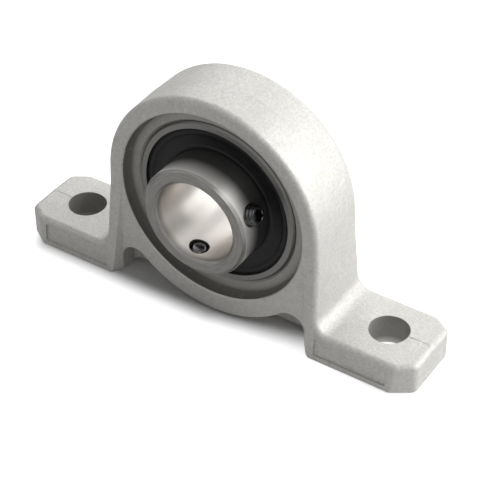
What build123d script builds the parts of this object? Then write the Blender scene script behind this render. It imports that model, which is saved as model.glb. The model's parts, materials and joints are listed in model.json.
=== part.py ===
from build123d import *
from math import acos, asin, atan2, cos, degrees, hypot, radians, sin, tan
import os

# Pillow block bearing for a 15 mm shaft, in millimetres.
# X runs along the base, the front is -Y and Z is up. The origin lies on the
# underside, midway between the two bolt holes, and the shaft runs along Y.

# Housing: outline seen from the front
base_length = 79.6
base_depth = 16.0
centre_height = 22.0
hump_radius = 21.0
hump_depth = 12.8
flank_half_width = 21.8
foot_thickness = 6.0
foot_fillet = 2.5
mould_draft = 1.5
edge_round = 0.95
base_round = 0.45
corner_cut_x = 3.8
corner_cut_y = 2.5
corner_round = 1.5

# Housing: bolt holes and the shallow panels on the feet
bolt_spacing = 63.0
bolt_hole_diameter = 7.0
panel_inner_x = 21.5
panel_outer_x = 35.3
panel_bottom = 1.15
panel_top = 4.7
panel_depth = 0.3
panel_round = 0.4

# Housing: legs that flare outward, and the arches between legs and ring
flare_top = 19.0
flare_round = 12.0
leg_gap_top = 18.2
leg_gap_foot = 19.0
leg_bevel = 36.0
leg_toe_round = 1.4
arch_top_round = 2.8
ring_relief = 0.6
web_relief = 0.9
web_thickness = 4.6
web_height = 6.0
web_fillet = 2.0
web_bury = 0.3

# Housing: mouth, ball seat for the insert and loading slots at the back
mouth_radius = 17.8
mouth_floor_radius = 17.4
mouth_depth = 2.0
mouth_round = 0.5
seat_chamfer = 0.35
seat_clearance = 0.03
slot_clearance = 0.2

# Insert: rings, both ends of the inner ring measured from the ball plane
bore_diameter = 15.0
insert_diameter = 32.0
outer_ring_width = 9.0
outer_ring_chamfer = 0.3
inner_ring_front = 11.0
inner_ring_back = 5.5
inner_ring_diameter = 20.2
inner_ring_chamfer = 0.5
bore_chamfer = 0.4
outer_land_radius = 13.1

# Insert: balls and races
ball_count = 9
ball_diameter = 4.762
pitch_radius = 11.6
race_conformity = 0.52
ball_clearance = 0.03

# Insert: riveted cage pressed from two strips
cage_thickness = 0.4
cage_width = 2.0
cage_pocket_clearance = 0.08
rivet_diameter = 0.9
rivet_head_diameter = 1.4
rivet_head_height = 0.2
rivet_clearance = 0.01

# Insert: seals, a rubber lip moulded on a steel washer
seal_mouth_radius = 14.2
seal_groove_depth = 0.2
seal_groove_width = 0.5
seal_recess = 0.3
seal_thickness = 0.95
seal_skin = 0.4
seal_core_inner = 11.1
seal_core_outer = 13.7
seal_core_thickness = 0.3
seal_lip_width = 0.3
seal_lip_gap = 0.04
seal_bead_gap = 0.02
seal_rim_width = 0.35
seal_rim_step = 0.15

# Set screws, threads taken at their pitch diameter
screw_pitch_diameter = 3.5
screw_clearance = 0.02
screw_length = 3.0
screw_plane_y = 7.9
screw_upper_tip_gap = 1.1
screw_lower_tip_gap = 0.1
screw_upper_angle = 21.5
screw_spread = 120.0
screw_socket = 2.0
screw_socket_depth = 1.4
screw_point_chamfer = 0.7
screw_end_chamfer = 0.3
screw_cup_radius = 0.8
screw_cup_depth = 0.35
screw_mouth_chamfer = 0.3

# How far a cutting shape runs past the face it cuts
cut_reach = 1.0

half_length = base_length / 2
half_base = base_depth / 2
half_hump = hump_depth / 2
top_reach = centre_height + hump_radius + cut_reach
ring_radius = centre_height - ring_relief
half_web = web_thickness / 2
shelf_y = half_hump - mouth_depth
bore_radius = bore_diameter / 2
insert_radius = insert_diameter / 2
seat_radius = insert_radius + seat_clearance
half_ring = outer_ring_width / 2
inner_land_radius = inner_ring_diameter / 2
ball_radius = ball_diameter / 2
race_radius = ball_diameter * race_conformity
inner_race_bottom = pitch_radius - ball_radius - ball_clearance
outer_race_bottom = pitch_radius + ball_radius + ball_clearance
screw_radius = screw_pitch_diameter / 2
screw_hole_radius = screw_radius + screw_clearance
screw_lower_angle = screw_upper_angle - screw_spread

shaft_axis = Axis((0, 0, centre_height), (0, 1, 0))
shaft_plane = Plane(origin=(0, 0, centre_height), x_dir=(1, 0, 0), z_dir=(0, -1, 0))
# Half section through the shaft: across is the radius, up is Y.
section_plane = Plane(origin=(0, 0, centre_height), x_dir=(1, 0, 0), z_dir=(0, 0, 1))
leg_face = Plane((0, -half_base, 0), x_dir=(1, 0, 0), z_dir=(0, -flare_top, half_base - half_hump))


def save(builder, name):
    """Label a finished piece and write it to its own file."""
    builder.part.label = name
    export_step(builder.part, f"parts/{name}.step")


def leg_gap(widening):
    """Return the outline of the gap between the legs, widened on each side."""
    toe_share = leg_toe_round / flare_top
    half_top = leg_gap_top + widening
    half_toe = leg_gap_foot + (leg_gap_top - leg_gap_foot) * toe_share + widening
    with BuildSketch() as gap:
        with BuildLine():
            Polyline(
                (0, flare_top + cut_reach),
                (half_top, flare_top + cut_reach),
                (half_toe, leg_toe_round),
            )
            TangentArc((half_toe, leg_toe_round), (half_toe + leg_toe_round, 0), tangent=(0, -1))
            Polyline((half_toe + leg_toe_round, 0), (half_toe + leg_toe_round, -cut_reach), (0, -cut_reach))
            mirror(about=Plane.YZ)
        make_face()
    return gap.sketch


def on_foot_corner(edge):
    """Tell whether an edge is one of the upright edges at a foot's cut corner."""
    middle = edge @ 0.5
    near_end = abs(middle.X) > half_length - corner_cut_x - edge_round
    return near_end and abs(middle.Z - foot_thickness / 2) < edge_round and middle.Y < -edge_round


def on_front_rim(edge):
    """Tell whether an edge runs round the front of the hump, a flank or a foot top."""
    middle = edge @ 0.5
    outside = abs(middle.X) > hump_radius - edge_round or middle.Z > centre_height
    facing = middle.Y < edge_round / 2 - half_hump or abs(middle.X) > half_length - corner_cut_x
    return outside and facing and middle.Z > foot_thickness - edge_round and middle.Y < 0


def on_base_rim(edge):
    """Tell whether an edge runs round the underside of the front half."""
    middle = edge @ 0.5
    return middle.Z < base_round and middle.Y < -base_round


def screw_place(angle, radius):
    """Return a plane square to a set screw, at a radius from the shaft axis."""
    outward = (cos(radians(angle)), 0, sin(radians(angle)))
    place = (radius * outward[0], -screw_plane_y, centre_height + radius * outward[2])
    return Plane(origin=place, x_dir=(0, 1, 0), z_dir=outward)


def screw_section(angle):
    """Return a plane through a set screw's axis, with its radius across and outward up."""
    square = screw_place(angle, 0)
    return Plane(origin=square.origin, x_dir=square.x_dir, z_dir=square.x_dir.cross(square.z_dir))


def screw_axis(angle):
    """Return the axis of a set screw, pointing away from the shaft."""
    square = screw_place(angle, 0)
    return Axis(square.origin, square.z_dir)


def race_angle(land_gap):
    """Return the half angle of a race groove whose land lies a gap from the arc centre."""
    return degrees(acos(land_gap / race_radius))


os.makedirs("parts", exist_ok=True)

# The flanks run straight down from the hump, tangent to it
flank_drop = centre_height - foot_thickness
flank_angle = degrees(acos(hump_radius / hypot(flank_half_width, flank_drop)))
tangent_angle = flank_angle - degrees(atan2(flank_drop, flank_half_width))
tangent_point = (
    hump_radius * cos(radians(tangent_angle)),
    centre_height + hump_radius * sin(radians(tangent_angle)),
)
gap_at_ring = leg_gap(0)
gap_at_base = leg_gap((half_base - half_hump) * tan(radians(leg_bevel)))

# Housing, cast in two mirrored halves that meet in the bolt plane
with BuildPart() as housing:
    with BuildSketch(Plane.XZ):
        with BuildLine():
            CenterArc((0, centre_height), hump_radius, tangent_angle, 90 - tangent_angle)
            FilletPolyline(
                tangent_point,
                (flank_half_width, foot_thickness),
                (half_length + cut_reach, foot_thickness),
                radius=foot_fillet,
            )
            Polyline(
                (half_length + cut_reach, foot_thickness),
                (half_length + cut_reach, -cut_reach),
                (0, -cut_reach),
            )
            mirror(about=Plane.YZ)
        make_face()
    extrude(amount=half_base, taper=mould_draft)

    # Side view: upright round the ring, then legs and feet flare out to the base depth
    with BuildSketch(Plane.YZ):
        with BuildLine():
            FilletPolyline(
                (-half_base, 0),
                (-half_hump, flare_top),
                (-half_hump, top_reach),
                radius=flare_round,
            )
            Polyline(
                (-half_hump, top_reach),
                (0, top_reach),
                (0, -2 * cut_reach),
                (-half_base, -2 * cut_reach),
                (-half_base, 0),
            )
        make_face()
    extrude(amount=half_length + 2 * cut_reach, both=True, mode=Mode.INTERSECT)

    # Plan view: the ends of the feet have cut corners
    with BuildSketch(Plane.XY):
        with BuildLine():
            Polyline(
                (0, -half_base),
                (half_length - corner_cut_x, -half_base),
                (half_length, corner_cut_y - half_base),
                (half_length, 0),
                (0, 0),
            )
            mirror(about=Plane.YZ)
        make_face()
    extrude(amount=top_reach, mode=Mode.INTERSECT)
    fillet(housing.edges().filter_by(on_foot_corner), corner_round)
    fillet(housing.edges().filter_by(on_front_rim), edge_round)
    fillet(housing.edges().filter_by(on_base_rim), base_round)

    # Ring face set back between the flared legs
    with BuildSketch(Plane.XZ.offset(half_hump)):
        add(gap_at_ring)
    with BuildSketch(Plane.XZ.offset(half_base)):
        add(gap_at_base)
    loft(ruled=True, mode=Mode.SUBTRACT)

    # Arches between the legs and the round underside of the ring
    with BuildSketch(Plane.XZ) as arches:
        add(gap_at_ring)
        with Locations((0, centre_height)):
            Circle(ring_radius, mode=Mode.SUBTRACT)
        fillet(arches.vertices().group_by(Axis.Y)[-1], arch_top_round)
    extrude(amount=half_base, mode=Mode.SUBTRACT)

    # Shallow panels on the front of the feet
    with BuildSketch(leg_face):
        with Locations(((panel_inner_x + panel_outer_x) / 2, (panel_bottom + panel_top) / 2)):
            RectangleRounded(panel_outer_x - panel_inner_x, panel_top - panel_bottom, panel_round)
        mirror(about=Plane.YZ)
    extrude(amount=-panel_depth, mode=Mode.SUBTRACT)

    mirror(about=Plane.XZ)

    # Cross web between the legs, wider where it runs into them
    web_reach = leg_gap_foot + web_bury
    web_foot = web_reach - web_fillet
    with BuildSketch(Plane.XY.offset(web_relief)):
        with BuildLine():
            Line((0, half_web), (web_foot, half_web))
            TangentArc((web_foot, half_web), (web_reach, half_web + web_fillet), tangent=(1, 0))
            Line((web_reach, half_web + web_fillet), (web_reach, 0))
            mirror(about=Plane.YZ)
            mirror(about=Plane.XZ)
        make_face()
    extrude(amount=web_height)

    # Mouth on each side, and the ball seat that lets the insert tilt
    seat_end = asin((shelf_y - seat_chamfer) / seat_radius)
    seat_rim = seat_radius * cos(seat_end)
    mouth_rim = mouth_radius + mouth_round
    with BuildSketch(section_plane):
        with BuildLine():
            CenterArc((0, 0), seat_radius, 0, degrees(seat_end))
            Polyline(
                (seat_rim, shelf_y - seat_chamfer),
                (seat_rim + seat_chamfer, shelf_y),
                (mouth_floor_radius, shelf_y),
                (mouth_radius, half_hump - mouth_round),
            )
            TangentArc((mouth_radius, half_hump - mouth_round), (mouth_rim, half_hump), tangent=(0, 1))
            Polyline((mouth_rim, half_hump), (mouth_rim, half_hump + cut_reach), (0, half_hump + cut_reach))
            mirror(about=Plane.XZ)
            Line((0, half_hump + cut_reach), (0, -half_hump - cut_reach))
        make_face()
    revolve(axis=shaft_axis, mode=Mode.SUBTRACT)

    # Slots at the back where the insert goes in edge on, before it is turned square
    with BuildSketch(shaft_plane):
        Rectangle(2 * (insert_radius + slot_clearance), outer_ring_width + 2 * slot_clearance)
    extrude(amount=-half_hump, mode=Mode.SUBTRACT)

    # Bolt holes
    with Locations((0, 0, foot_thickness)):
        with GridLocations(bolt_spacing, 0, 2, 1):
            Hole(bolt_hole_diameter / 2)
save(housing, "housing")

# Outer ring: ball-shaped outside, race and seal mouths inside
seal_outer_y = half_ring - seal_recess
seal_inner_y = seal_outer_y - seal_thickness
groove_y = seal_inner_y + seal_groove_width / 2
ring_rim_y = half_ring - outer_ring_chamfer
ring_rim = insert_radius * cos(asin(ring_rim_y / insert_radius))
outer_race_centre = outer_race_bottom - race_radius
outer_race_angle = race_angle(outer_land_radius - outer_race_centre)
outer_race_edge = race_radius * sin(radians(outer_race_angle))
with BuildPart() as outer_ring:
    with BuildSketch(section_plane):
        with BuildLine():
            CenterArc((outer_race_centre, 0), race_radius, 0, outer_race_angle)
            Polyline(
                (outer_land_radius, outer_race_edge),
                (outer_land_radius, seal_inner_y),
                (seal_mouth_radius, seal_inner_y),
                (seal_mouth_radius + seal_groove_depth, groove_y),
                (seal_mouth_radius, seal_inner_y + seal_groove_width),
                (seal_mouth_radius, half_ring),
                (ring_rim - outer_ring_chamfer, half_ring),
                (ring_rim, ring_rim_y),
            )
            CenterArc((0, 0), insert_radius, 0, degrees(asin(ring_rim_y / insert_radius)))
            mirror(about=Plane.XZ)
        make_face()
    revolve(axis=shaft_axis)
save(outer_ring, "outer_ring")

# Inner ring: one long side, two threaded holes for the set screws
inner_race_centre = inner_race_bottom + race_radius
inner_race_angle = race_angle(inner_race_centre - inner_land_radius)
inner_race_edge = race_radius * sin(radians(inner_race_angle))
with BuildPart() as inner_ring:
    with BuildSketch(section_plane):
        with BuildLine():
            CenterArc((inner_race_centre, 0), race_radius, 180 - inner_race_angle, 2 * inner_race_angle)
            Polyline(
                (inner_land_radius, -inner_race_edge),
                (inner_land_radius, inner_ring_chamfer - inner_ring_front),
                (inner_land_radius - inner_ring_chamfer, -inner_ring_front),
                (bore_radius + bore_chamfer, -inner_ring_front),
                (bore_radius, bore_chamfer - inner_ring_front),
                (bore_radius, inner_ring_back - bore_chamfer),
                (bore_radius + bore_chamfer, inner_ring_back),
                (inner_land_radius - bore_chamfer, inner_ring_back),
                (inner_land_radius, inner_ring_back - bore_chamfer),
                (inner_land_radius, inner_race_edge),
            )
        make_face()
    revolve(axis=shaft_axis)
    for angle in (screw_upper_angle, screw_lower_angle):
        with BuildSketch(screw_section(angle)):
            Polygon(
                (0, bore_radius - cut_reach),
                (screw_hole_radius, bore_radius - cut_reach),
                (screw_hole_radius, inner_land_radius - screw_mouth_chamfer),
                (screw_hole_radius + screw_mouth_chamfer + cut_reach, inner_land_radius + cut_reach),
                (0, inner_land_radius + cut_reach),
                align=None,
            )
        revolve(axis=screw_axis(angle), mode=Mode.SUBTRACT)
save(inner_ring, "inner_ring")

# Set screws: cup point on the shaft side, socket at the outer end
for name, angle, tip_gap in (
    ("set_screw_upper", screw_upper_angle, screw_upper_tip_gap),
    ("set_screw_lower", screw_lower_angle, screw_lower_tip_gap),
):
    screw_tip = bore_radius + tip_gap
    screw_end = screw_tip + screw_length
    with BuildPart() as set_screw:
        with BuildSketch(screw_section(angle)):
            Polygon(
                (0, screw_tip + screw_cup_depth),
                (screw_cup_radius, screw_tip),
                (screw_radius - screw_point_chamfer, screw_tip),
                (screw_radius, screw_tip + screw_point_chamfer),
                (screw_radius, screw_end - screw_end_chamfer),
                (screw_radius - screw_end_chamfer, screw_end),
                (0, screw_end),
                align=None,
            )
        revolve(axis=screw_axis(angle))
        with BuildSketch(screw_place(angle, screw_end)):
            RegularPolygon(screw_socket / 2, 6, major_radius=False)
        extrude(amount=-screw_socket_depth, mode=Mode.SUBTRACT)
    save(set_screw, name)

# Balls, numbered round the ring from the right
for index in range(ball_count):
    turn = radians(index * 360 / ball_count)
    with BuildPart() as ball:
        with Locations((pitch_radius * cos(turn), 0, centre_height + pitch_radius * sin(turn))):
            Sphere(ball_radius)
    save(ball, f"ball_{index + 1}")

# Cage half: a flat strip pressed into a pocket round each ball
cage_inner = pitch_radius - cage_width / 2
cage_outer = pitch_radius + cage_width / 2
pocket_radius = ball_radius + cage_pocket_clearance
half_pitch = 180 / ball_count
with BuildPart() as cage_front:
    with BuildSketch(shaft_plane):
        Circle(cage_outer)
        Circle(cage_inner, mode=Mode.SUBTRACT)
    extrude(amount=cage_thickness)
    with Locations(shaft_plane):
        with PolarLocations(pitch_radius, ball_count):
            Sphere(pocket_radius + cage_thickness)
    with BuildSketch(shaft_plane):
        Circle(cage_outer)
        Circle(cage_inner, mode=Mode.SUBTRACT)
    extrude(amount=pocket_radius + 2 * cage_thickness, mode=Mode.INTERSECT)
    with Locations(shaft_plane):
        with PolarLocations(pitch_radius, ball_count):
            Sphere(pocket_radius, mode=Mode.SUBTRACT)
        with PolarLocations(pitch_radius, ball_count, start_angle=half_pitch):
            Cylinder(rivet_diameter / 2 + rivet_clearance, 4 * cage_thickness, mode=Mode.SUBTRACT)
save(cage_front, "cage_front")

with BuildPart() as cage_rear:
    mirror(cage_front.part, about=Plane.XZ)
save(cage_rear, "cage_rear")

# Rivets between the pockets, headed on both sides
with BuildPart() as cage_rivets:
    with Locations(shaft_plane):
        with PolarLocations(pitch_radius, ball_count, start_angle=half_pitch):
            Cylinder(rivet_diameter / 2, 2 * cage_thickness + rivet_head_height)
    head_front = shaft_plane.offset(cage_thickness)
    head_rear = shaft_plane.offset(-cage_thickness - rivet_head_height)
    with Locations(head_front, head_rear):
        with PolarLocations(pitch_radius, ball_count, start_angle=half_pitch):
            Cylinder(
                rivet_head_diameter / 2,
                rivet_head_height,
                align=(Align.CENTER, Align.CENTER, Align.MIN),
            )
save(cage_rivets, "cage_rivets")

# Seals: the rubber has a lip on the inner ring and a bead in the outer ring's groove
seal_lip_radius = inner_land_radius + seal_lip_gap
seal_edge_radius = seal_mouth_radius - seal_bead_gap
core_outer_y = seal_outer_y - seal_skin
core_inner_y = core_outer_y - seal_core_thickness
with BuildPart() as seal_lip_rear:
    with BuildSketch(section_plane):
        Polygon(
            (seal_lip_radius, seal_outer_y),
            (seal_mouth_radius - seal_rim_width, seal_outer_y),
            (seal_mouth_radius - seal_rim_width, seal_outer_y - seal_rim_step),
            (seal_edge_radius, seal_outer_y - seal_rim_step),
            (seal_edge_radius, seal_inner_y + seal_groove_width),
            (seal_edge_radius + seal_groove_depth, groove_y),
            (seal_edge_radius, seal_inner_y),
            (seal_core_outer, seal_inner_y),
            (seal_core_outer, core_outer_y),
            (seal_core_inner, core_outer_y),
            (seal_core_inner, core_inner_y),
            (seal_lip_radius, seal_outer_y - seal_lip_width),
            align=None,
        )
    revolve(axis=shaft_axis)
save(seal_lip_rear, "seal_lip_rear")

with BuildPart() as seal_core_rear:
    with BuildSketch(shaft_plane.offset(-core_outer_y)):
        Circle(seal_core_outer)
        Circle(seal_core_inner, mode=Mode.SUBTRACT)
    extrude(amount=seal_core_thickness)
save(seal_core_rear, "seal_core_rear")

with BuildPart() as seal_lip_front:
    mirror(seal_lip_rear.part, about=Plane.XZ)
save(seal_lip_front, "seal_lip_front")

with BuildPart() as seal_core_front:
    mirror(seal_core_rear.part, about=Plane.XZ)
save(seal_core_front, "seal_core_front")
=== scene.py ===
"""Pillow block bearing for a 15 mm shaft: finishes, fine pieces, floor, light and camera."""

import json
import logging
import math
from dataclasses import dataclass, field
from enum import Enum

import bmesh
import bpy
from mathutils import Matrix, Vector


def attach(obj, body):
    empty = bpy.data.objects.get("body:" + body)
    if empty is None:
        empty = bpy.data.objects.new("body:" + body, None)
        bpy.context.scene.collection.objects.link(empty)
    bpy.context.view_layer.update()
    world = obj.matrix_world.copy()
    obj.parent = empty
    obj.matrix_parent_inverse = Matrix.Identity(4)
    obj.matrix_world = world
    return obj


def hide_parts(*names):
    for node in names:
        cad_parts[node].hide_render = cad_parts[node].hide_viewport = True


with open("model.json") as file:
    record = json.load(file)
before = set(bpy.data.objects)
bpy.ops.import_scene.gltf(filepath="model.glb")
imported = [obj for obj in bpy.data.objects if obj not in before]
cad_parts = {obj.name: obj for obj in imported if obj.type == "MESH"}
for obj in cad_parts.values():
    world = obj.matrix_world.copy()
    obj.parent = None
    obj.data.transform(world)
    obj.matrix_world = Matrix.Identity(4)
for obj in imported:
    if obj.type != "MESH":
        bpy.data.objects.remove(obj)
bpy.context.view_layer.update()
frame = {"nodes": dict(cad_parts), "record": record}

LOG = logging.getLogger("pillow_block")
MM = 0.001
FULL_TURN = 2.0 * math.pi
SHAFT_HEIGHT = 22.0
BORE_RADIUS = 7.5
RING_RADIUS = 10.1
BOLT_PLACE = 31.5
SEAL_FACE = 4.2
MERGE_MM = 0.0005
MATCH_MM = 0.001
SHARP_DEGREES = 32.0
WEAR_AND_GLINT = "wear_and_glint"
WHITE = (1.0, 1.0, 1.0)

Colour = tuple[float, float, float]
Place = tuple[float, float, float]
Socket = bpy.types.NodeSocket


class Slot(Enum):
    """The record's material slots that new pieces take their finish from."""

    ZINC = "zinc_casting"
    RING = "ring_steel"
    BALL = "ball_steel"
    CAGE = "cage_steel"
    WASHER = "washer_steel"
    RUBBER = "seal_rubber"
    SCREW = "screw_steel"


class Effect(Enum):
    """The surface effects that several finishes share."""

    SPECKLE = "cast_speckle"
    LINES = "turned_lines"
    SCUFFS = "handling_scuffs"
    ZONES = "ring_zones"
    RECESS_PAINTED_LIGHT = "recess_painted_light"


@dataclass(frozen=True)
class ShaftPoint:
    """A surface point beside the shaft axis, each part a socket in metres."""

    across: Socket
    along: Socket
    height: Socket
    rise: Socket


class NodeSheet:
    """Places and links shader nodes in one tree."""

    def __init__(self, tree: bpy.types.NodeTree) -> None:
        """Start with an empty tree.

        Args:
            tree: The tree to clear and to write into.
        """
        self.tree = tree
        tree.nodes.clear()

    def feed(self, socket: Socket, value: object) -> None:
        """Link an input to a socket, or set it to a value.

        Args:
            socket: The input.
            value: A socket, a number, a vector or a colour without its alpha.
        """
        if isinstance(value, Socket):
            self.tree.links.new(value, socket)
        elif socket.type == "RGBA":
            socket.default_value = (*value, 1.0)
        else:
            socket.default_value = value

    def add(self, kind: str, **settings: object) -> bpy.types.Node:
        """Add a node and set its properties or its sockets.

        Args:
            kind: The node's type name, without the ShaderNode prefix.
            **settings: Property names, or socket names with spaces as underscores.

        Returns:
            The new node.
        """
        node = self.tree.nodes.new(kind if kind.startswith("Node") else "ShaderNode" + kind)
        for name, value in settings.items():
            if hasattr(node, name):
                setattr(node, name, value)
            else:
                self.feed(node.inputs[name.replace("_", " ")], value)
        return node

    def math(self, operation: str, first: object, second: object = 0.0, clamp: bool = False) -> Socket:
        """Add a Math node.

        Args:
            operation: The node's operation.
            first: A number or a socket.
            second: A number or a socket.
            clamp: Whether the result is held between 0 and 1.

        Returns:
            The node's value socket.
        """
        node = self.add("Math", operation=operation, use_clamp=clamp)
        self.feed(node.inputs[0], first)
        self.feed(node.inputs[1], second)
        return node.outputs[0]

    def plus(self, first: object, second: object) -> Socket:
        """Add two numbers or sockets."""
        return self.math("ADD", first, second)

    def minus(self, first: object, second: object) -> Socket:
        """Subtract the second number or socket from the first."""
        return self.math("SUBTRACT", first, second)

    def times(self, first: object, second: object) -> Socket:
        """Multiply two numbers or sockets."""
        return self.math("MULTIPLY", first, second)

    def in_mm(self, value: Socket) -> Socket:
        """Turn a measure in metres into millimetres."""
        return self.math("DIVIDE", value, MM)

    def most(self, *values: object) -> Socket:
        """Find the largest of several numbers or sockets.

        Args:
            *values: Two or more numbers or sockets.

        Returns:
            The largest one's socket.
        """
        largest = values[0]
        for value in values[1:]:
            largest = self.math("MAXIMUM", largest, value)
        return largest

    def length(self, first: Socket, second: Socket) -> Socket:
        """Measure the slant of two sides at a right angle.

        Args:
            first: One side.
            second: The other side.

        Returns:
            The slant's length.
        """
        return self.math("SQRT", self.plus(self.times(first, first), self.times(second, second)))

    def span(
        self, value: Socket, low: float, high: float, to_low: float = 0.0, to_high: float = 1.0
    ) -> Socket:
        """Map a value from one span to another, held at its ends.

        Args:
            value: The socket to read.
            low: Start of the input span.
            high: End of the input span.
            to_low: Start of the output span.
            to_high: End of the output span.

        Returns:
            The mapped value's socket.
        """
        node = self.add("MapRange", clamp=True)
        for socket, given in zip(node.inputs, (value, low, high, to_low, to_high)):
            self.feed(socket, given)
        return node.outputs[0]

    def blend(self, factor: object, first: object, second: object) -> Socket:
        """Mix two colours.

        Args:
            factor: A number or a socket.
            first: A colour or a socket, shown at 0.
            second: A colour or a socket, shown at 1.

        Returns:
            The mixed colour's socket.
        """
        node = self.add("Mix", data_type="RGBA")
        for index, value in ((0, factor), (6, first), (7, second)):
            self.feed(node.inputs[index], value)
        return node.outputs[2]

    def point(self) -> Socket:
        """Read the surface point in the piece's own coordinates, in metres."""
        return self.add("TexCoord").outputs["Object"]

    def from_shaft(self, point: Socket) -> ShaftPoint:
        """Take a point apart, with its rise over the shaft axis.

        Args:
            point: The point in metres.

        Returns:
            Its parts.
        """
        parts = self.add("SeparateXYZ", Vector=point).outputs
        rise = self.minus(parts["Z"], SHAFT_HEIGHT * MM)
        return ShaftPoint(parts["X"], parts["Y"], parts["Z"], rise)

    def per_mm(self, size: object) -> object:
        """Work out the texture scale for features of a size.

        Args:
            size: The size in millimetres, a number or a socket.

        Returns:
            The scale, a number or a socket.
        """
        return self.math("DIVIDE", 1.0 / MM, size) if isinstance(size, Socket) else 1.0 / (size * MM)

    def noise(self, point: Socket, size: object, detail: float = 3.0, rough: float = 0.5) -> Socket:
        """Add noise of a given feature size.

        Args:
            point: The coordinates to read, in metres.
            size: How large one patch of the noise is, in millimetres.
            detail: How many finer layers it has.
            rough: How strong the finer layers are.

        Returns:
            The noise value's socket.
        """
        node = self.add("TexNoise", Scale=self.per_mm(size), Detail=detail, Roughness=rough, Vector=point)
        return node.outputs[0]

    def wire(
        self,
        shader: bpy.types.Node,
        colour: Socket,
        rough: Socket,
        bump: bpy.types.Node,
        metallic: float = 1.0,
    ) -> None:
        """Feed a Principled BSDF what every finish has.

        Args:
            shader: The Principled BSDF.
            colour: The base colour.
            rough: The roughness.
            bump: The Bump node.
            metallic: How metallic the whole surface is.
        """
        values = {"Base Color": colour, "Roughness": rough, "Normal": bump.outputs[0], "Metallic": metallic}
        for label, value in values.items():
            self.feed(shader.inputs[label], value)


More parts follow.
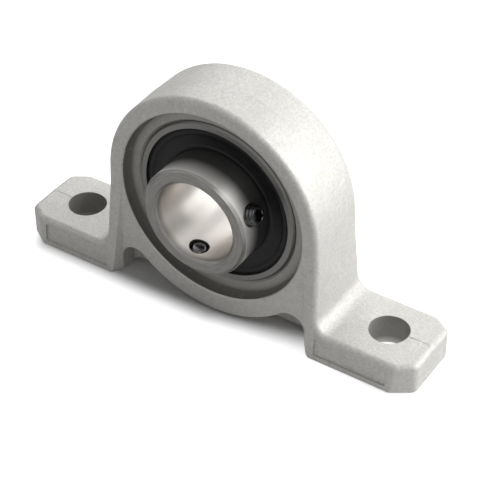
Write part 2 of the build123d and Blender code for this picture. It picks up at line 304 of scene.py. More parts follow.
@dataclass
class EffectGroups:
    """Surface effects that several finishes share, each a node group built once."""

    groups: dict[Effect, bpy.types.NodeTree] = field(default_factory=dict)

    def build(self) -> None:
        """Build every group."""
        self._speckle()
        self._turning()
        self._scuffs()
        self._zones()
        self._recess_painted_light()

    def place(self, sheet: NodeSheet, effect: Effect, **values: object) -> bpy.types.Node:
        """Place a group in a material.

        Args:
            sheet: The material's sheet.
            effect: The group's effect.
            **values: Its inputs, with spaces as underscores.

        Returns:
            The group node.
        """
        node = sheet.add("Group", node_tree=self.groups[effect])
        for label, value in values.items():
            sheet.feed(node.inputs[label.replace("_", " ")], value)
        return node

    def _start(
        self, effect: Effect, sizes: dict[str, float], outputs: tuple[str, ...]
    ) -> tuple[NodeSheet, bpy.types.Node]:
        """Start a group that reads a point and some sizes.

        Args:
            effect: The group's effect.
            sizes: Names of its number inputs with their usual values.
            outputs: Names of its value outputs.

        Returns:
            A sheet that writes into the group, and the node with the group's inputs.
        """
        tree = bpy.data.node_groups.new(effect.value, "ShaderNodeTree")
        tree.interface.new_socket("Point", in_out="INPUT", socket_type="NodeSocketVector")
        for label, value in sizes.items():
            socket = tree.interface.new_socket(label, in_out="INPUT", socket_type="NodeSocketFloat")
            socket.default_value = value
        for label in outputs:
            tree.interface.new_socket(label, in_out="OUTPUT", socket_type="NodeSocketFloat")
        self.groups[effect] = tree
        sheet = NodeSheet(tree)
        return sheet, sheet.add("NodeGroupInput")

    def _speckle(self) -> None:
        """Build the grain of a tumbled casting: fine bumps, small pits and slow mottling."""
        sizes = {"Grain mm": 0.45, "Pit mm": 1.1}
        sheet, node = self._start(Effect.SPECKLE, sizes, ("Height", "Mottle", "Pits"))
        read = node.outputs
        point = read["Point"]
        coarse_mm, pitted_mm, pit_reach = 2.6, 3.4, 0.22
        fine_share, coarse_share, pit_share, mottle_share = 0.8, 0.35, 0.35, 0.2
        fine = sheet.times(sheet.noise(point, read["Grain mm"], 4.0, 0.62), fine_share)
        coarse = sheet.noise(point, coarse_mm, 4.0, 0.6)
        pit_scale = sheet.per_mm(read["Pit mm"])
        pits = sheet.add("TexVoronoi", Vector=point, Scale=pit_scale, Randomness=1.0)
        pit_mask = sheet.span(pits.outputs["Distance"], 0.0, pit_reach, 1.0, 0.0)
        pitted = sheet.span(sheet.noise(point, pitted_mm, 1.0), 0.52, 0.62)
        pit_mask = sheet.times(pit_mask, pitted)
        height = sheet.plus(fine, sheet.times(coarse, coarse_share))
        height = sheet.minus(height, sheet.times(pit_mask, pit_share))
        mottle = sheet.plus(fine, sheet.times(coarse, mottle_share))
        sheet.add("NodeGroupOutput", Height=height, Mottle=mottle, Pits=pit_mask)

    def _turning(self) -> None:
        """Build the fine lines left by turning or grinding round the shaft axis."""
        sheet, node = self._start(Effect.LINES, {"Line mm": 0.12, "Wave mm": 1.5}, ("Lines", "Bands"))
        read = node.outputs
        place = sheet.from_shaft(read["Point"])
        drift = 0.0004
        turn = sheet.times(sheet.math("ARCTAN2", place.rise, place.across), drift)
        radius = sheet.length(place.across, place.rise)
        polar = sheet.add("CombineXYZ", X=radius, Y=place.along, Z=turn).outputs[0]
        lines = sheet.noise(polar, read["Line mm"], 2.0, 0.6)
        bands = sheet.noise(polar, read["Wave mm"], 1.0)
        sheet.add("NodeGroupOutput", Lines=lines, Bands=bands)

    def _scuffs(self) -> None:
        """Build the small scuffs and handling marks, as a mask."""
        sheet, node = self._start(Effect.SCUFFS, {"Patch mm": 6.0, "Scratch mm": 0.5}, ("Mask",))
        read = node.outputs
        turned, drawn_out = (0.4, 0.9, 0.6), (1.0, 0.12, 1.0)
        stretched = sheet.add("Mapping", Vector=read["Point"], Rotation=turned, Scale=drawn_out)
        patch = sheet.noise(read["Point"], read["Patch mm"], 3.0, 0.6)
        scratch = sheet.noise(stretched.outputs[0], read["Scratch mm"], 2.0)
        where = sheet.span(patch, 0.5, 0.66)
        marks = sheet.span(scratch, 0.6, 0.68)
        sheet.add("NodeGroupOutput", Mask=sheet.times(where, marks))

    def _zones(self) -> None:
        """Build masks of the inner ring's bore, ground outside and rim, and of the outer ring."""
        sizes = {"Edge mm": 0.05, "Rim mm": 0.5, "Far mm": 14.1}
        sheet, node = self._start(Effect.ZONES, sizes, ("Bore", "Outside", "Rim", "Far", "Radius mm"))
        read = node.outputs
        place = sheet.from_shaft(read["Point"])
        radius = sheet.in_mm(sheet.length(place.across, place.rise))
        inner = sheet.minus(radius, read["Edge mm"])
        bore = sheet.math("LESS_THAN", inner, BORE_RADIUS)
        far = sheet.math("GREATER_THAN", radius, read["Far mm"])
        beyond = sheet.math("GREATER_THAN", inner, RING_RADIUS)
        reached = sheet.math("GREATER_THAN", sheet.plus(radius, read["Edge mm"]), RING_RADIUS)
        outside = sheet.minus(reached, beyond)
        rim = sheet.math("DIVIDE", sheet.minus(RING_RADIUS, radius), read["Rim mm"], clamp=True)
        sheet.add("NodeGroupOutput", Bore=bore, Outside=outside, Rim=rim, Far=far, Radius_mm=radius)

    def _recess_painted_light(self) -> None:
        """Mask painted shade in the holes, mouth and mouth's wall, and painted light low in the holes."""
        sizes = {"Hole mm": 3.55, "Mouth mm": 17.9, "Wall mm": 1.2, "Foot mm": 1.5}
        sheet, node = self._start(Effect.RECESS_PAINTED_LIGHT, sizes, ("Mask", "Wall", "Foot"))
        read = node.outputs
        place = sheet.from_shaft(read["Point"])
        beside_bolt = sheet.minus(sheet.math("ABSOLUTE", place.across), BOLT_PLACE * MM)
        from_hole = sheet.in_mm(sheet.length(beside_bolt, place.along))
        hole = sheet.math("LESS_THAN", from_hole, read["Hole mm"])
        radius = sheet.in_mm(sheet.length(place.across, place.rise))
        mouth = sheet.math("LESS_THAN", radius, read["Mouth mm"])
        # Painted shade band just inside the mouth's rim.
        inward = sheet.minus(read["Mouth mm"], radius)
        wall = sheet.minus(1.0, sheet.math("DIVIDE", inward, read["Wall mm"], clamp=True))
        # Mask for painted light low in the bolt holes.
        height = sheet.in_mm(place.height)
        low = sheet.minus(1.0, sheet.math("DIVIDE", height, read["Foot mm"], clamp=True))
        wall = sheet.times(wall, mouth)
        foot_light = sheet.times(low, hole)
        sheet.add("NodeGroupOutput", Mask=sheet.most(hole, mouth), Wall=wall, Foot=foot_light)


def new_material(name: str) -> tuple[bpy.types.Material, NodeSheet, bpy.types.Node]:
    """Make a material with a Principled BSDF.

    Args:
        name: The material's name.

    Returns:
        The material, its sheet and its Principled BSDF.
    """
    material = bpy.data.materials.new(name)
    material.use_nodes = True
    sheet = NodeSheet(material.node_tree)
    shader = sheet.add("BsdfPrincipled")
    sheet.add("OutputMaterial", Surface=shader.outputs[0])
    return material, sheet, shader


@dataclass(frozen=True)
class CastZinc:
    """Tumbled zinc die-casting, pale silver grey with a fine rough grain."""

    light: Colour = (0.6, 0.59, 0.568)
    dark: Colour = (0.48, 0.47, 0.447)
    # Painted shade in the bolt holes and the mouth, partly the untumbled as-cast tone.
    recess_painted_shade: Colour = (0.25, 0.242, 0.225)
    recess_painted_shade_share: float = 0.62
    # Painted shade along the mouth's wall, fading toward the shaft axis.
    wall_painted_shade: Colour = (0.09, 0.086, 0.078)
    wall_painted_shade_share: float = 0.7
    # Painted light: the lowest part of each bolt hole is pale, as if lit floor showed through.
    foot_light: Colour = (0.9, 0.89, 0.87)
    foot_light_share: float = 1.0
    pit: Colour = (0.3, 0.295, 0.285)
    pit_share: float = 0.35
    scuff: Colour = (0.8, 0.8, 0.79)
    scuff_share: float = 0.3
    seam: Colour = (0.13, 0.125, 0.115)
    seam_share: float = 0.7
    seam_depth: float = 0.8
    seam_width: float = 0.2
    seam_sway: float = 1.4
    seam_start: float = 35.2
    seam_end: float = 39.1
    seam_low: float = 4.2
    seam_high: float = 5.4
    metallic: float = 0.4
    grain_depth: float = 0.00011
    grain_strength: float = 0.55
    rough_dark: float = 0.6
    rough_light: float = 0.46

    def build(self, effects: EffectGroups) -> bpy.types.Material:
        """Build the material.

        Args:
            effects: The shared effect groups.

        Returns:
            The material.
        """
        material, sheet, shader = new_material("cast_zinc")
        point = sheet.point()
        grain = effects.place(sheet, Effect.SPECKLE, Point=point).outputs
        scuffs = effects.place(sheet, Effect.SCUFFS, Point=point).outputs
        painted_recess_masks = effects.place(sheet, Effect.RECESS_PAINTED_LIGHT, Point=point).outputs
        seam = self._seam_mask(sheet, point)
        colour = sheet.blend(sheet.span(grain["Mottle"], 0.34, 0.66), self.dark, self.light)
        # The first three stains are painted shade and painted light, set by position.
        stains = (
            (painted_recess_masks["Mask"], self.recess_painted_shade_share, self.recess_painted_shade),
            (painted_recess_masks["Wall"], self.wall_painted_shade_share, self.wall_painted_shade),
            (painted_recess_masks["Foot"], self.foot_light_share, self.foot_light),
            (grain["Pits"], self.pit_share, self.pit),
            (scuffs["Mask"], self.scuff_share, self.scuff),
            (seam, self.seam_share, self.seam),
        )
        for mask, share, stain in stains:
            colour = sheet.blend(sheet.times(mask, share), colour, stain)
        height = sheet.minus(grain["Height"], sheet.times(seam, self.seam_depth))
        bump = sheet.add("Bump", Strength=self.grain_strength, Distance=self.grain_depth, Height=height)
        rough = sheet.span(grain["Mottle"], 0.3, 0.7, self.rough_dark, self.rough_light)
        sheet.wire(shader, colour, rough, bump, self.metallic)
        return material

    def _seam_mask(self, sheet: NodeSheet, point: Socket) -> Socket:
        """Mask the short scars of the parting line on the ends of the feet.

        Args:
            sheet: The material's sheet.
            point: The surface point in metres.

        Returns:
            The mask's socket.
        """
        place = sheet.from_shaft(point)
        sway = sheet.times(sheet.minus(sheet.noise(point, 2.4, 2.0), 0.5), self.seam_sway * MM)
        from_seam = sheet.math("ABSOLUTE", sheet.plus(place.along, sway))
        seam = sheet.span(from_seam, 0.0, self.seam_width * MM, 1.0, 0.0)
        outward = sheet.math("ABSOLUTE", place.across)
        started = sheet.math("GREATER_THAN", outward, self.seam_start * MM)
        ended = sheet.math("LESS_THAN", outward, self.seam_end * MM)
        broken = sheet.span(sheet.noise(point, 1.3, 2.0), 0.38, 0.55, 0.25, 1.0)
        upper = sheet.span(place.height, self.seam_low * MM, self.seam_high * MM)
        for mask in (started, ended, broken, upper):
            seam = sheet.times(seam, mask)
        return seam


@dataclass(frozen=True)
class RingSteel:
    """Ground and turned steel of the bearing rings, with fine lines round the shaft axis."""

    colour: Colour = (0.27, 0.263, 0.252)
    shade: Colour = (0.185, 0.181, 0.172)
    rough: float = 0.34
    line_depth: float = 0.000012
    line_mm: float = 0.12
    line_rough: float = 0.1
    line_strength: float = 0.8
    scuff_rough: float = 0.12
    bore: Colour = (0.54, 0.517, 0.488)
    # Painted shade on the front of the bore, darkest at its chamfer.
    bore_mouth_painted_shade: Colour = (0.2, 0.192, 0.18)
    bore_shade_start: float = -10.9
    bore_shade_end: float = -9.3
    bore_rough: float = 0.05
    outside: Colour = (0.5, 0.49, 0.475)
    # Painted shade and painted reflection of the seal: the outside turns nearly black toward the seal.
    seal_side_painted_shade: Colour = (0.055, 0.054, 0.052)
    seal_shade_start: float = -10.2
    seal_shade_end: float = -6.9
    outside_rough: float = 0.16
    far: Colour = (0.185, 0.181, 0.173)
    rim_fall: float = 30.0
    stretch: float = 0.75
    stretch_lean: float = 3.0

    def build(self, effects: EffectGroups) -> bpy.types.Material:
        """Build the material.

        Args:
            effects: The shared effect groups.

        Returns:
            The material.
        """
        material, sheet, shader = new_material("ring_steel")
        point = sheet.point()
        place = sheet.from_shaft(point)
        turning = effects.place(sheet, Effect.LINES, Point=point, Line_mm=self.line_mm).outputs
        scuffs = effects.place(sheet, Effect.SCUFFS, Point=point, Patch_mm=4.0, Scratch_mm=0.3).outputs
        zones = effects.place(sheet, Effect.ZONES, Point=point).outputs
        # The bore darkens toward the front face: painted shade.
        inward = sheet.span(place.along, self.bore_shade_start * MM, self.bore_shade_end * MM)
        bore = sheet.blend(inward, self.bore_mouth_painted_shade, self.bore)
        # The ground outside darkens toward the seal: painted shade and reflection.
        seal_shade_ramp = sheet.span(place.along, self.seal_shade_start * MM, self.seal_shade_end * MM)
        outside = sheet.blend(seal_shade_ramp, self.outside, self.seal_side_painted_shade)
        colour = sheet.blend(sheet.span(turning["Lines"], 0.35, 0.65), self.shade, self.colour)
        for zone, shown in (("Bore", bore), ("Outside", outside), ("Far", self.far)):
            colour = sheet.blend(zones[zone], colour, shown)
        rough = sheet.times(sheet.plus(turning["Lines"], turning["Bands"]), self.line_rough)
        rough = sheet.plus(rough, self.rough - self.line_rough)
        rougher = (
            (scuffs["Mask"], self.scuff_rough),
            (zones["Outside"], self.outside_rough),
            (zones["Bore"], self.bore_rough),
        )
        for mask, share in rougher:
            rough = sheet.plus(rough, sheet.times(mask, share))
        height = sheet.plus(turning["Lines"], sheet.times(zones["Rim"], self.rim_fall))
        bump = sheet.add("Bump", Strength=self.line_strength, Distance=self.line_depth, Height=height)
        sheet.wire(shader, colour, rough, bump)
        self._stretch_gloss(sheet, shader, place)
        return material

    def _stretch_gloss(self, sheet: NodeSheet, shader: bpy.types.Node, place: ShaftPoint) -> None:
        """Draw the highlights out across the turned lines.

        Args:
            sheet: The material's sheet.
            shader: The Principled BSDF.
            place: The surface point beside the shaft axis.
        """
        radial = sheet.add("CombineXYZ", X=place.across, Y=self.stretch_lean * MM, Z=place.rise)
        turned = sheet.add("VectorTransform", convert_from="OBJECT", convert_to="WORLD")
        turned.vector_type = "VECTOR"
        sheet.feed(turned.inputs[0], radial.outputs[0])
        sheet.feed(shader.inputs["Tangent"], turned.outputs[0])
        sheet.feed(shader.inputs["Anisotropic"], self.stretch)


@dataclass(frozen=True)
class BallSteel:
    """Lapped and polished ball steel with a faint film of grease."""

    colour: Colour = (0.78, 0.78, 0.79)
    film: Colour = (0.62, 0.6, 0.55)
    film_mm: float = 1.2
    rough: float = 0.07
    film_rough: float = 0.12
    scuff_rough: float = 0.15
    scuff_depth: float = 0.000002
    scuff_strength: float = 0.2

    def build(self, effects: EffectGroups) -> bpy.types.Material:
        """Build the material.

        Args:
            effects: The shared effect groups.

        Returns:
            The material.
        """
        material, sheet, shader = new_material("ball_steel")
        point = sheet.point()
        scuffs = effects.place(sheet, Effect.SCUFFS, Point=point, Patch_mm=1.5, Scratch_mm=0.1).outputs
        film = sheet.span(sheet.noise(point, self.film_mm), 0.42, 0.68)
        colour = sheet.blend(film, self.colour, self.film)
        rough = sheet.plus(sheet.times(film, self.film_rough), self.rough)
        rough = sheet.plus(rough, sheet.times(scuffs["Mask"], self.scuff_rough))
        bump = sheet.add(
            "Bump", Strength=self.scuff_strength, Distance=self.scuff_depth, Height=scuffs["Mask"]
        )
        sheet.wire(shader, colour, rough, bump)
        return material


@dataclass(frozen=True)
class PressedSteel:
    """Pressed strip steel, as the cage halves, rivets and seal washers are made of."""

    name: str
    colour: Colour
    rough: float
    dark_share: float = 0.72
    grain_rough: float = 0.2
    scuff_rough: float = 0.15
    grain_depth: float = 0.00001
    grain_strength: float = 0.3

    def build(self, effects: EffectGroups) -> bpy.types.Material:
        """Build the material.

        Args:
            effects: The shared effect groups.

        Returns:
            The material.
        """
        material, sheet, shader = new_material(self.name)
        point = sheet.point()
        grain = effects.place(sheet, Effect.SPECKLE, Point=point, Grain_mm=0.2, Pit_mm=0.6).outputs
        scuffs = effects.place(sheet, Effect.SCUFFS, Point=point, Patch_mm=2.0, Scratch_mm=0.2).outputs
        dark = tuple(self.dark_share * channel for channel in self.colour)
        colour = sheet.blend(grain["Mottle"], dark, self.colour)
        rough = sheet.times(grain["Mottle"], self.grain_rough)
        rough = sheet.plus(rough, self.rough - self.grain_rough / 2)
        rough = sheet.plus(rough, sheet.times(scuffs["Mask"], self.scuff_rough))
        bump = sheet.add(
            "Bump", Strength=self.grain_strength, Distance=self.grain_depth, Height=grain["Height"]
        )
        sheet.wire(shader, colour, rough, bump)
        return material


@dataclass(frozen=True)
class SealRubber:
    """Black nitrile rubber with moulding rings, a slight sheen and a painted reflection toward the lip."""

    colour: Colour = (0.005, 0.005, 0.0052)
    bloom: Colour = (0.011, 0.011, 0.0112)
    # Lighter toward the lip, plain black toward the rim: a painted reflection of the inner ring.
    face: Colour = (0.014, 0.0142, 0.015)
    lip_reflection_start: float = 11.2
    lip_reflection_end: float = 13.3
    smooth: float = 0.42
    dusty: float = 0.56
    specular: float = 0.22
    ring_depth: float = 0.00002
    ring_strength: float = 0.3

    def build(self, effects: EffectGroups) -> bpy.types.Material:
        """Build the material.

        Args:
            effects: The shared effect groups.

        Returns:
            The material.
        """
        material, sheet, shader = new_material("seal_rubber")
        point = sheet.point()
        rings = effects.place(sheet, Effect.LINES, Point=point, Line_mm=0.4, Wave_mm=2.0).outputs
        zones = effects.place(sheet, Effect.ZONES, Point=point).outputs
        dust = sheet.noise(point, 1.4, 5.0, 0.65)
        colour = sheet.blend(sheet.span(dust, 0.4, 0.75), self.colour, self.bloom)
        # Painted reflection of the inner ring, fading out toward the rim.
        outward = sheet.span(zones["Radius mm"], self.lip_reflection_start, self.lip_reflection_end)
        colour = sheet.blend(outward, self.face, colour)
        rough = sheet.span(dust, 0.3, 0.7, self.smooth, self.dusty)
        bump = sheet.add(
            "Bump", Strength=self.ring_strength, Distance=self.ring_depth, Height=rings["Lines"]
        )
        sheet.wire(shader, colour, rough, bump, 0.0)
        sheet.feed(shader.inputs["Specular IOR Level"], self.specular)
        return material


@dataclass(frozen=True)
class BlackOxide:
    """Blackened alloy steel of the set screws, brighter where worn; the worn rims also stand for painted
    glints.
    """

    colour: Colour = (0.05, 0.05, 0.052)
    # Bare steel where worn, which at the screws' rims is also a painted glint.
    rubbed_and_glint: Colour = (0.42, 0.42, 0.415)
    smooth: float = 0.18
    matt: float = 0.34
    metallic: float = 0.85
    grain_depth: float = 0.000008
    grain_strength: float = 0.2

    def build(self, effects: EffectGroups) -> bpy.types.Material:
        """Build the material.

        Args:
            effects: The shared effect groups.

        Returns:
            The material.
        """
        material, sheet, shader = new_material("black_oxide")
        point = sheet.point()
        grain = effects.place(sheet, Effect.SPECKLE, Point=point, Grain_mm=0.15, Pit_mm=0.4).outputs
        scuffs = effects.place(sheet, Effect.SCUFFS, Point=point, Patch_mm=1.2, Scratch_mm=0.15).outputs
        wear_and_glint = sheet.add("Attribute", attribute_name=WEAR_AND_GLINT).outputs["Fac"]
        colour = sheet.blend(sheet.most(scuffs["Mask"], wear_and_glint), self.colour, self.rubbed_and_glint)
        rough = sheet.span(grain["Mottle"], 0.3, 0.7, self.smooth, self.matt)
        bump = sheet.add(
            "Bump", Strength=self.grain_strength, Distance=self.grain_depth, Height=grain["Height"]
        )
        sheet.wire(shader, colour, rough, bump, self.metallic)
        return material


@dataclass
class Finishes:
    """Every finish of the part, built once and looked up by slot."""

    effects: EffectGroups = field(default_factory=EffectGroups)
    made: dict[Slot, bpy.types.Material] = field(default_factory=dict)

    def build(self) -> None:
        """Build the effect groups, then the materials."""
        self.effects.build()
        recipes = {
            Slot.ZINC: CastZinc(),
            Slot.RING: RingSteel(),
            Slot.BALL: BallSteel(),
            Slot.CAGE: PressedSteel("cage_steel", (0.55, 0.54, 0.52), 0.35),
            Slot.WASHER: PressedSteel("washer_steel", (0.5, 0.5, 0.5), 0.4),
            Slot.RUBBER: SealRubber(),
            Slot.SCREW: BlackOxide(),
        }
        for slot, recipe in recipes.items():
            self.made[slot] = recipe.build(self.effects)

    def dress(self, piece: bpy.types.Object, slot: Slot) -> None:
        """Give a piece one finish.

        Args:
            piece: A CAD node or a new piece.
            slot: The finish.
        """
        if not piece.data.materials:
            piece.data.materials.append(None)
        for index in range(len(piece.data.materials)):
            piece.data.materials[index] = self.made[slot]


@dataclass(frozen=True)
class Lamp:
    """A large soft lamp that looks at the part: place and size in metres, power in watts."""

    name: str
    place: Place
    size: float
    power: float


@dataclass
class Studio:
    """Pale floor, soft lamps, plain world and the camera at the photograph's place."""

    floor_size: float = 6.0
    floor_white: float = 0.8
    floor_rough: float = 0.9
    floor_drop: float = 0.02
    lift: float = 0.52
    # Extra paleness just outside the painted shadow: painted light over the lamps' shadows.
    near_painted_light: float = 0.37
    near_reach: float = 26.0
    far_lift: float = 0.5
    far_reach: float = 400.0
    # Box of the painted floor shadow under the part, with its soft edge.
    shade_left: float = -35.0
    shade_right: float = 20.0
    shade_front: float = -6.3
    shade_back: float = 3.0
    shade_slant: float = 0.27
    shade_soft: float = 4.7
    shade_spread: float = 0.12
    glossy_share: float = 0.42
    world_level: float = 0.165
    aim: Place = (0.0, 0.0, 0.02)
    lens: float = 123.475
    sensor: float = 36.0
    clip_near: float = 0.01
    clip_far: float = 20.0
    place_mm: Place = (124.13, -182.80, 188.52)
    azimuth: float = 33.783
    elevation: float = 38.748
    roll: float = -0.494
    lamps: tuple[Lamp, ...] = (
        Lamp("key_lamp", (0.185, 0.08, 0.195), 0.16, 0.37),
        Lamp("high_lamp", (0.20, -0.05, 0.30), 0.20, 0.16),
        Lamp("left_back_lamp", (-0.20, 0.30, 0.30), 0.30, 0.5),
        Lamp("back_lamp", (0.05, 0.45, 0.25), 0.30, 0.5),
        Lamp("side_lamp", (0.42, 0.20, 0.10), 0.25, 0.95),
    )

    def build(self) -> None:
        """Build the floor, the lamps, the world and the camera."""
        self._floor()
        for lamp in self.lamps:
            self._hang(lamp)
        self._world()
        self._camera()

    def _seen(self, sheet: NodeSheet, glossy_share: float = 1.0) -> Socket:
        """Mask the rays of the camera and of reflections.

        Args:
            sheet: The material's or the world's sheet.
            glossy_share: How strongly glossy and transmission rays count.

        Returns:
            The mask's socket.
        """
        path = sheet.add("LightPath").outputs
        glossy = sheet.most(path["Is Glossy Ray"], path["Is Transmission Ray"])
        return sheet.most(path["Is Camera Ray"], sheet.times(glossy, glossy_share))

    def _floor(self) -> None:
        """Lay a large pale floor under the feet, clear when seen from below."""
        shape = bmesh.new()
        bmesh.ops.create_grid(shape, x_segments=1, y_segments=1, size=self.floor_size / 2)
        bmesh.ops.translate(shape, verts=shape.verts, vec=(0.0, 0.0, -self.floor_drop * MM))
        mesh = bpy.data.meshes.new("studio_floor")
        shape.to_mesh(mesh)
        shape.free()
        floor = bpy.data.objects.new("studio_floor", mesh)
        bpy.context.scene.collection.objects.link(floor)
        material, sheet, shader = new_material("floor_paper")
        sheet.feed(shader.inputs["Base Color"], (self.floor_white, self.floor_white, self.floor_white))
        sheet.feed(shader.inputs["Roughness"], self.floor_rough)
        sheet.feed(shader.inputs["Emission Color"], WHITE)
        strength = sheet.times(self._seen(sheet, self.glossy_share), self._painted_floor_shadow(sheet))
        sheet.feed(shader.inputs["Emission Strength"], strength)
        below = sheet.add("NewGeometry").outputs["Backfacing"]
        clear = sheet.add("BsdfTransparent").outputs[0]
        shown = sheet.add("MixShader")
        for socket, value in zip(shown.inputs, (below, shader.outputs[0], clear)):
            sheet.feed(socket, value)
        output = next(node for node in sheet.tree.nodes if node.type == "OUTPUT_MATERIAL")
        sheet.feed(output.inputs["Surface"], shown.outputs[0])
        mesh.materials.append(material)

    def _painted_floor_shadow(self, sheet: NodeSheet) -> Socket:
        """Work out how much paler than its lit colour the floor is shown: least close under the part, a
        painted shadow.

        Args:
            sheet: The floor material's sheet.

        Returns:
            The emission strength's socket.
        """
        parts = sheet.add("SeparateXYZ", Vector=sheet.point()).outputs
        along, across = sheet.in_mm(parts["X"]), sheet.in_mm(parts["Y"])
        rightward = sheet.most(along, 0.0)
        edge = sheet.plus(sheet.times(rightward, self.shade_slant), self.shade_front)
        outside = sheet.most(sheet.minus(edge, across), sheet.minus(across, self.shade_back), 0.0)
        beside = sheet.most(sheet.minus(self.shade_left, along), sheet.minus(along, self.shade_right), 0.0)
        away = sheet.length(outside, beside)
        soft = sheet.plus(sheet.times(rightward, self.shade_spread), self.shade_soft)
        # Painted shadow: the floor's paleness is withheld in a soft box under the part.
        open_floor = sheet.math("DIVIDE", away, soft, clamp=True)
        slope = sheet.minus(3.0, sheet.times(open_floor, 2.0))
        eased = sheet.times(sheet.times(open_floor, open_floor), slope)
        near = sheet.span(away, self.shade_soft, self.near_reach, self.near_painted_light, 0.0)
        far = sheet.span(away, self.near_reach, self.far_reach, 0.0, self.far_lift)
        return sheet.times(sheet.plus(sheet.plus(near, far), self.lift), eased)

    def _hang(self, lamp: Lamp) -> None:
        """Hang one lamp and point it at the part.

        Args:
            lamp: The lamp.
        """
        data = bpy.data.lights.new(lamp.name, "AREA")
        data.size = lamp.size
        data.energy = lamp.power
        hung = bpy.data.objects.new(lamp.name, data)
        hung.location = lamp.place
        hung.rotation_mode = "QUATERNION"
        hung.rotation_quaternion = (Vector(self.aim) - Vector(lamp.place)).to_track_quat("-Z", "Y")
        hung.visible_camera = False
        bpy.context.scene.collection.objects.link(hung)

    def _world(self) -> None:
        """Light the air evenly, with a white background behind the floor."""
        world = bpy.data.worlds.new("studio_air")
        world.use_nodes = True
        sheet = NodeSheet(world.node_tree)
        strength = sheet.plus(sheet.times(self._seen(sheet), 1.0 - self.world_level), self.world_level)
        light = sheet.add("Background", Color=WHITE, Strength=strength)
        sheet.add("OutputWorld", Surface=light.outputs[0])
        bpy.context.scene.world = world

    def _camera(self) -> None:
        """Set the camera at the photograph's place and turn."""
        turn, rise, lean = (math.radians(value) for value in (self.azimuth, self.elevation, self.roll))
        back = Vector((math.sin(turn) * math.cos(rise), -math.cos(turn) * math.cos(rise), math.sin(rise)))
        right = Vector((math.cos(turn), math.sin(turn), 0.0))
        up = back.cross(right)
        across = right * math.cos(lean) + up * math.sin(lean)
        upward = up * math.cos(lean) - right * math.sin(lean)
        data = bpy.data.cameras.new("photo_camera")
        data.lens = self.lens
        data.sensor_width = self.sensor
        data.clip_start = self.clip_near
        data.clip_end = self.clip_far
        camera = bpy.data.objects.new("photo_camera", data)
        turned = Matrix((across, upward, back)).transposed().to_4x4()
        camera.matrix_world = Matrix.Translation(Vector(self.place_mm) * MM) @ turned
        bpy.context.scene.collection.objects.link(camera)
        bpy.context.scene.camera = camera
        bpy.context.scene.view_settings.view_transform = "Standard"


class SpunPiece:
    """A closed piece made by turning a half section about an axis."""

    def __init__(self, name: str, section: list[tuple[float, float]], steps: int) -> None:
        """Spin a half section.

        Args:
            name: The piece's name.
            section: Radius and height of its points in millimetres, from axis to axis or closed.
            steps: How many steps one turn takes.
        """
        self.name = name
        self.shape = bmesh.new()
        corners = [self.shape.verts.new((radius, 0.0, height)) for radius, height in section]
        edges = [self.shape.edges.new(pair) for pair in zip(corners, corners[1:])]
        if section[0][0] > 0.0:
            edges.append(self.shape.edges.new((corners[-1], corners[0])))
        bmesh.ops.spin(
            self.shape,
            geom=corners + edges,
            axis=(0.0, 0.0, 1.0),
            cent=(0.0, 0.0, 0.0),
            angle=FULL_TURN,
            steps=steps,
            use_merge=True,
        )
        bmesh.ops.remove_doubles(self.shape, verts=self.shape.verts, dist=MERGE_MM)

    def finish(self, turn: Matrix, finishes: Finishes, slot: Slot, body: str, node: str) -> bpy.types.Object:
        """Place the piece, dress it and let it stand for its CAD node.

        Args:
            turn: Where the piece's axis and origin go, in millimetres.
            finishes: The part's finishes.
            slot: The piece's finish.
            body: The body it moves with.
            node: The CAD node it replaces.

        Returns:
            The new piece.
        """
        bmesh.ops.transform(self.shape, matrix=Matrix.Scale(MM, 4) @ turn, verts=self.shape.verts)
        bmesh.ops.recalc_face_normals(self.shape, faces=self.shape.faces)
        for face in self.shape.faces:
            face.smooth = True
        mesh = bpy.data.meshes.new(self.name)
        self.shape.to_mesh(mesh)
        self.shape.free()
        mesh.set_sharp_from_angle(angle=math.radians(SHARP_DEGREES))
        piece = bpy.data.objects.new(self.name, mesh)
        bpy.context.scene.collection.objects.link(piece)
        finishes.dress(piece, slot)
        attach(piece, body)
        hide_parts(node)
        LOG.info("built %s in place of %s", self.name, node)
        return piece


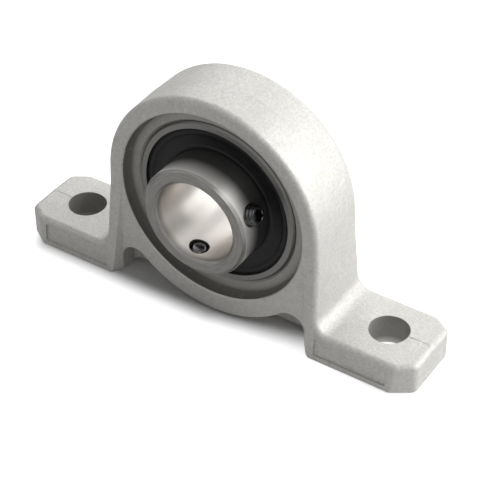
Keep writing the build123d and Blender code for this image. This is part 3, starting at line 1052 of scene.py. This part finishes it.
@dataclass(frozen=True)
class SetScrew:
    """Cup-point set screw with a rolled thread and a hexagon socket."""

    name: str
    node: str
    body: str
    angle: float
    tip: float
    length: float = 3.0
    plane: float = 7.9
    crest: float = 1.75
    root: float = 1.48
    pitch: float = 0.7
    crest_flat: float = 0.12
    flank_share: float = 0.7
    undercut: float = 0.05
    lead_in: float = 0.35
    toe_length: float = 0.75
    toe_radius: float = 1.1
    thread_gap: float = 0.55
    end_chamfer: float = 0.08
    socket: float = 2.0
    socket_depth: float = 1.4
    socket_cone: float = 0.25
    socket_chamfer: float = 0.12
    mouth_rim: float = 0.15
    cup_radius: float = 0.85
    cup_rim: float = 0.06
    # How far the rims are worn pale, partly a painted glint.
    rubbed_and_glint: float = 0.18
    steps: int = 72
    rows: int = 60

    def _section(self) -> list[tuple[float, float]]:
        """List the half section from the socket's bottom over the thread to the cup.

        Returns:
            Radius and height of each point, in millimetres from the cup's rim.
        """
        half = self.socket / 2
        bottom = self.length - self.socket_depth
        first_row = self.length - self.end_chamfer
        row_gap = (self.length - self.thread_gap) / self.rows
        hexagon = [(0.0, bottom - self.socket_cone), (half, bottom)]
        mouth = [(half, self.length - self.socket_chamfer), (half + self.socket_chamfer, self.length)]
        end = [(self.root - self.end_chamfer, self.length)]
        thread = [(self.crest, first_row - row * row_gap) for row in range(self.rows + 1)]
        toe = [(1.12, 0.02), (1.06, 0.0), (0.96, 0.0)]
        cup = [(self.cup_radius, 0.05), (0.74, 0.13), (0.0, 0.42)]
        return hexagon + mouth + end + thread + toe + cup

    def _thread(self, turn: float, height: float) -> float:
        """Work out the radius of the thread.

        Args:
            turn: The angle about the screw's axis.
            height: The height over the cup's rim.

        Returns:
            The radius in millimetres.
        """
        wave = (height / self.pitch - turn / FULL_TURN) % 1.0
        flank = min(1.0, max(0.0, (abs(2.0 * wave - 1.0) - self.crest_flat) / self.flank_share))
        depth = self.crest - self.root
        top = min(1.0, (self.length - height) / self.lead_in)
        toe = min(1.0, height / self.toe_length)
        start = self.root - self.undercut + (depth + self.undercut) * top
        end = self.toe_radius + (self.crest - self.toe_radius) * toe
        return min(start, end, self.root + depth * flank)

    def _cut(self, radius: float, turn: float, height: float) -> float:
        """Work out a spun point's radius once the thread and the hexagon are cut.

        Args:
            radius: The spun point's radius.
            turn: Its angle about the screw's axis.
            height: Its height over the cup's rim.

        Returns:
            The new radius in millimetres.
        """
        if radius > self.crest - MATCH_MM:
            return self._thread(turn, height)
        if abs(radius - self.socket / 2) < MATCH_MM:
            sixth = FULL_TURN / 6.0
            side = (turn + sixth / 2.0) % sixth - sixth / 2.0
            return self.socket / 2 / math.cos(side)
        return radius

    def _wear_and_glint(self, radius: float, height: float) -> float:
        """Say how much the black is worn off, also as a painted glint: most at the cup's rim and the
        socket's mouth.

        Args:
            radius: The point's distance from the screw's axis.
            height: Its height over the cup's rim.

        Returns:
            The worn share, partly a painted glint, from 0 to 1.
        """
        cup = height < self.cup_rim and radius > self.cup_radius - self.cup_rim
        mouth = height > self.length - self.cup_rim and radius < self.socket / 2 + self.mouth_rim
        return self.rubbed_and_glint if cup or mouth else 0.0

    def build(self, finishes: Finishes) -> None:
        """Build the screw and put it in its hole.

        Args:
            finishes: The part's finishes.
        """
        spun = SpunPiece(self.name, self._section(), self.steps)
        wear_and_glint = spun.shape.verts.layers.float.new(WEAR_AND_GLINT)
        for vert in spun.shape.verts:
            radius = math.hypot(vert.co.x, vert.co.y)
            vert[wear_and_glint] = self._wear_and_glint(radius, vert.co.z)
            if radius > MATCH_MM:
                grown = self._cut(radius, math.atan2(vert.co.y, vert.co.x), vert.co.z) / radius
                vert.co.x *= grown
                vert.co.y *= grown
        lean = math.radians(self.angle)
        outward = Vector((math.cos(lean), 0.0, math.sin(lean)))
        place = Vector((0.0, -self.plane, SHAFT_HEIGHT)) + outward * self.tip
        turn = Matrix.Translation(place) @ outward.to_track_quat("Z", "Y").to_matrix().to_4x4()
        spun.finish(turn, finishes, Slot.SCREW, self.body, self.node)


@dataclass(frozen=True)
class SealFace:
    """Moulded rubber seal with a rounded rim, a dished face and a fine lip."""

    name: str
    node: str
    front: bool
    dish: float = 0.15
    easing: float = 0.03
    cover: float = 0.4
    lip_depth: float = 0.3
    clip_bulge: float = 0.7
    clip_height: float = 0.95
    steps: int = 160

    def _section(self) -> list[tuple[float, float]]:
        """List the closed half section, from the lip over the dished face to the clip and back inside.

        Returns:
            Radius and height of each point, in millimetres from the middle of the ring's width.
        """
        face = SEAL_FACE
        eased, steep, dished = face - self.easing, face - self.dish + self.easing, face - self.dish
        end, back = face - self.clip_height, face - self.cover
        lip = [(10.14, face - 0.06), (10.2, face - 0.01), (10.3, face), (10.75, face)]
        dish = [(10.85, eased), (10.95, steep), (11.05, dished)]
        dish += [(12.75, dished), (12.87, steep), (12.97, eased)]
        bead = [(13.1, face), (13.62, face), (13.75, eased), (13.83, steep), (13.92, dished)]
        rim = [(14.1, face - 0.16), (14.18, face - 0.22), (14.18, face - 0.45)]
        clip = [(14.38, face - self.clip_bulge), (14.18, end), (13.7, end)]
        inside = [(13.7, back), (11.1, back), (11.1, face - self.clip_bulge), (10.14, face - self.lip_depth)]
        return lip + dish + bead + rim + clip + inside

    def build(self, finishes: Finishes) -> None:
        """Build the seal on its side of the insert.

        Args:
            finishes: The part's finishes.
        """
        spun = SpunPiece(self.name, self._section(), self.steps)
        tilt = math.pi / 2.0 if self.front else -math.pi / 2.0
        turn = Matrix.Translation((0.0, 0.0, SHAFT_HEIGHT)) @ Matrix.Rotation(tilt, 4, "X")
        spun.finish(turn, finishes, Slot.RUBBER, "insert", self.node)


def dress_nodes(finishes: Finishes) -> None:
    """Give every CAD node the finish of its slot.

    Args:
        finishes: The part's finishes.
    """
    for entry in frame["record"]["subparts"]:
        node = frame["nodes"][entry["node"]]
        finishes.dress(node, Slot(entry["material_slot"]))
        LOG.info("dressed %s", entry["node"])


def main() -> None:
    """Build the finishes, the pieces and the studio."""
    logging.basicConfig(level=logging.INFO)
    finishes = Finishes()
    finishes.build()
    dress_nodes(finishes)
    SetScrew("threaded_screw_upper", "set_screw_upper", "upper_screw", 21.5, 8.6).build(finishes)
    SetScrew("threaded_screw_lower", "set_screw_lower", "lower_screw", -98.5, 7.6).build(finishes)
    SealFace("moulded_seal_front", "seal_lip_front", True).build(finishes)
    SealFace("moulded_seal_rear", "seal_lip_rear", False).build(finishes)
    Studio().build()


if __name__ == "__main__":
    main()
